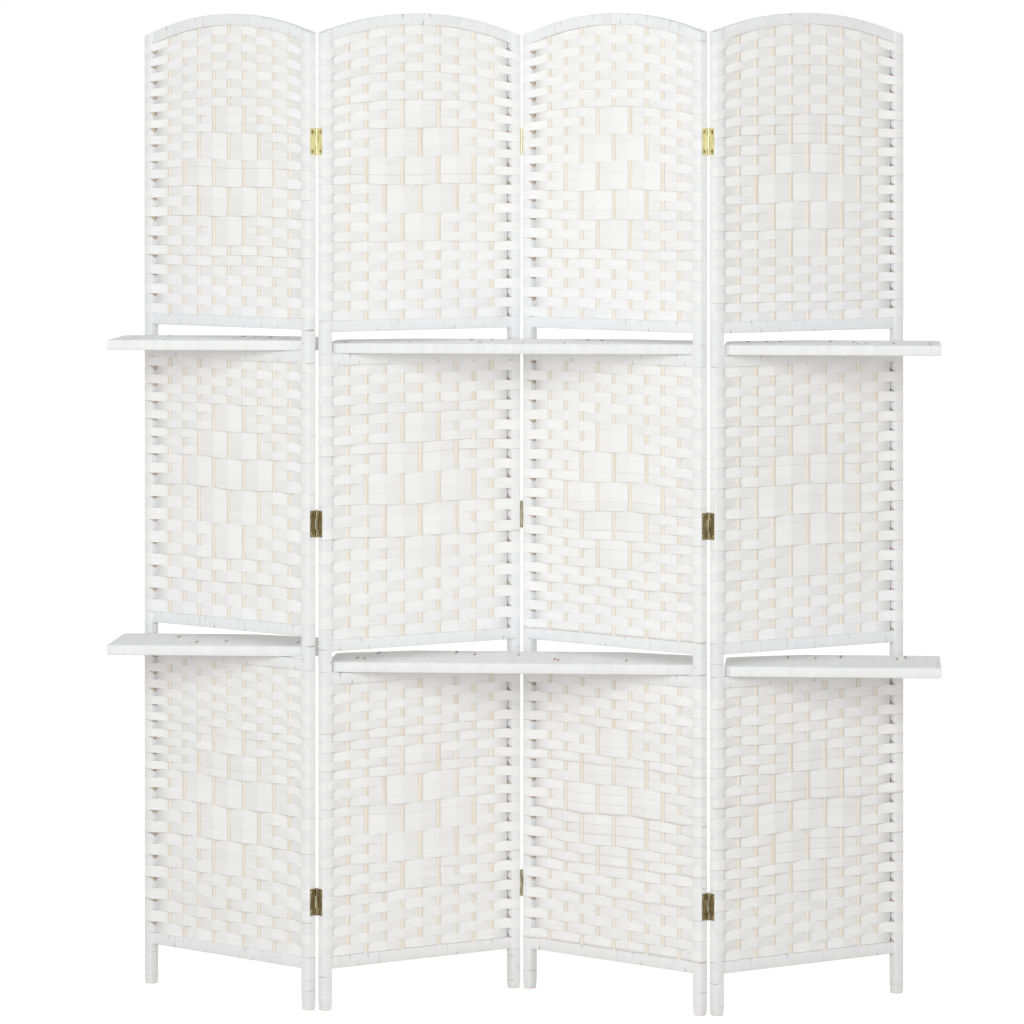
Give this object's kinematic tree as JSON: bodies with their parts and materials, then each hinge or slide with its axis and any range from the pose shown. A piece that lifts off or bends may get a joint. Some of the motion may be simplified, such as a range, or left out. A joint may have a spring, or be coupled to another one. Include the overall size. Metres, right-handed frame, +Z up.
{
  "type": "folding screen with shelves",
  "caption": "Folding screen of hinged woven panels with arched tops on posts, and shelf boards laid through slots between the woven fields.",
  "frame": {"origin": "on the floor, under the middle of the screen's box", "axes": "+Z up, +X along the screen to the viewer's right, +Y from the front to the back"},
  "size_m": [1.4254, 0.2534, 1.7],
  "materials": {
    "wrapped_paper": "softwood wrapped in white paper ribbon, matt",
    "woven_paper": "white paper ribbon woven over natural sticks, matt",
    "brass": "plated brass hinges, satin"
  },
  "bodies": {
    "panel_1": {"panel_1_left_post": "wrapped_paper", "panel_1_right_post": "wrapped_paper", "panel_1_arch_rail": "wrapped_paper", "panel_1_lower_weave": "woven_paper", "panel_1_middle_weave": "woven_paper", "panel_1_upper_weave": "woven_paper", "joint_1_lower_hinge_left_leaf": "brass", "joint_1_lower_hinge_pin": "brass", "joint_1_middle_hinge_left_leaf": "brass", "joint_1_middle_hinge_pin": "brass", "joint_1_upper_hinge_left_leaf": "brass", "joint_1_upper_hinge_pin": "brass"},
    "panel_2": {"panel_2_left_post": "wrapped_paper", "panel_2_right_post": "wrapped_paper", "panel_2_arch_rail": "wrapped_paper", "panel_2_lower_weave": "woven_paper", "panel_2_middle_weave": "woven_paper", "panel_2_upper_weave": "woven_paper", "joint_1_lower_hinge_right_leaf": "brass", "joint_1_middle_hinge_right_leaf": "brass", "joint_1_upper_hinge_right_leaf": "brass", "joint_2_lower_hinge_left_leaf": "brass", "joint_2_lower_hinge_pin": "brass", "joint_2_middle_hinge_left_leaf": "brass", "joint_2_middle_hinge_pin": "brass", "joint_2_upper_hinge_left_leaf": "brass", "joint_2_upper_hinge_pin": "brass"},
    "panel_3": {"panel_3_left_post": "wrapped_paper", "panel_3_right_post": "wrapped_paper", "panel_3_arch_rail": "wrapped_paper", "panel_3_lower_weave": "woven_paper", "panel_3_middle_weave": "woven_paper", "panel_3_upper_weave": "woven_paper", "joint_2_lower_hinge_right_leaf": "brass", "joint_2_middle_hinge_right_leaf": "brass", "joint_2_upper_hinge_right_leaf": "brass", "joint_3_lower_hinge_left_leaf": "brass", "joint_3_lower_hinge_pin": "brass", "joint_3_middle_hinge_left_leaf": "brass", "joint_3_middle_hinge_pin": "brass", "joint_3_upper_hinge_left_leaf": "brass", "joint_3_upper_hinge_pin": "brass"},
    "panel_4": {"panel_4_left_post": "wrapped_paper", "panel_4_right_post": "wrapped_paper", "panel_4_arch_rail": "wrapped_paper", "panel_4_lower_weave": "woven_paper", "panel_4_middle_weave": "woven_paper", "panel_4_upper_weave": "woven_paper", "joint_3_lower_hinge_right_leaf": "brass", "joint_3_middle_hinge_right_leaf": "brass", "joint_3_upper_hinge_right_leaf": "brass"},
    "lower_left_board": {"lower_left_board": "wrapped_paper"},
    "lower_middle_board": {"lower_middle_board": "wrapped_paper"},
    "lower_right_board": {"lower_right_board": "wrapped_paper"},
    "upper_left_board": {"upper_left_board": "wrapped_paper"},
    "upper_middle_board": {"upper_middle_board": "wrapped_paper"},
    "upper_right_board": {"upper_right_board": "wrapped_paper"}
  },
  "joints": [
    {"name": "left_joint", "type": "hinge", "parent": "panel_2", "child": "panel_1", "pos_m": [-0.34736, -0.11503, 0.828], "axis": [0, 0, 1], "range_deg": [-2, 78]},
    {"name": "middle_joint", "type": "hinge", "parent": "panel_2", "child": "panel_3", "pos_m": [-0.014, 0.11503, 0.828], "axis": [0, 0, 1], "range_deg": [-10, 0.5]},
    {"name": "right_joint", "type": "hinge", "parent": "panel_3", "child": "panel_4", "pos_m": [0.31936, -0.11503, 0.828], "axis": [0, 0, 1], "range_deg": [-78, 2]},
    {"name": "lower_left_board_slide", "type": "slide", "parent": "panel_1", "child": "lower_left_board", "axis": [-1, 0, 0], "range_m": [0, 0.3]},
    {"name": "lower_middle_board_slide", "type": "slide", "parent": "panel_2", "child": "lower_middle_board", "axis": [1, 0, 0], "range_m": [-0.006, 0.006]},
    {"name": "lower_right_board_slide", "type": "slide", "parent": "panel_4", "child": "lower_right_board", "axis": [1, 0, 0], "range_m": [0, 0.3]},
    {"name": "upper_left_board_slide", "type": "slide", "parent": "panel_1", "child": "upper_left_board", "axis": [-1, 0, 0], "range_m": [0, 0.3]},
    {"name": "upper_middle_board_slide", "type": "slide", "parent": "panel_2", "child": "upper_middle_board", "axis": [1, 0, 0], "range_m": [-0.006, 0.006]},
    {"name": "upper_right_board_slide", "type": "slide", "parent": "panel_4", "child": "upper_right_board", "axis": [1, 0, 0], "range_m": [0, 0.3]}
  ]
}
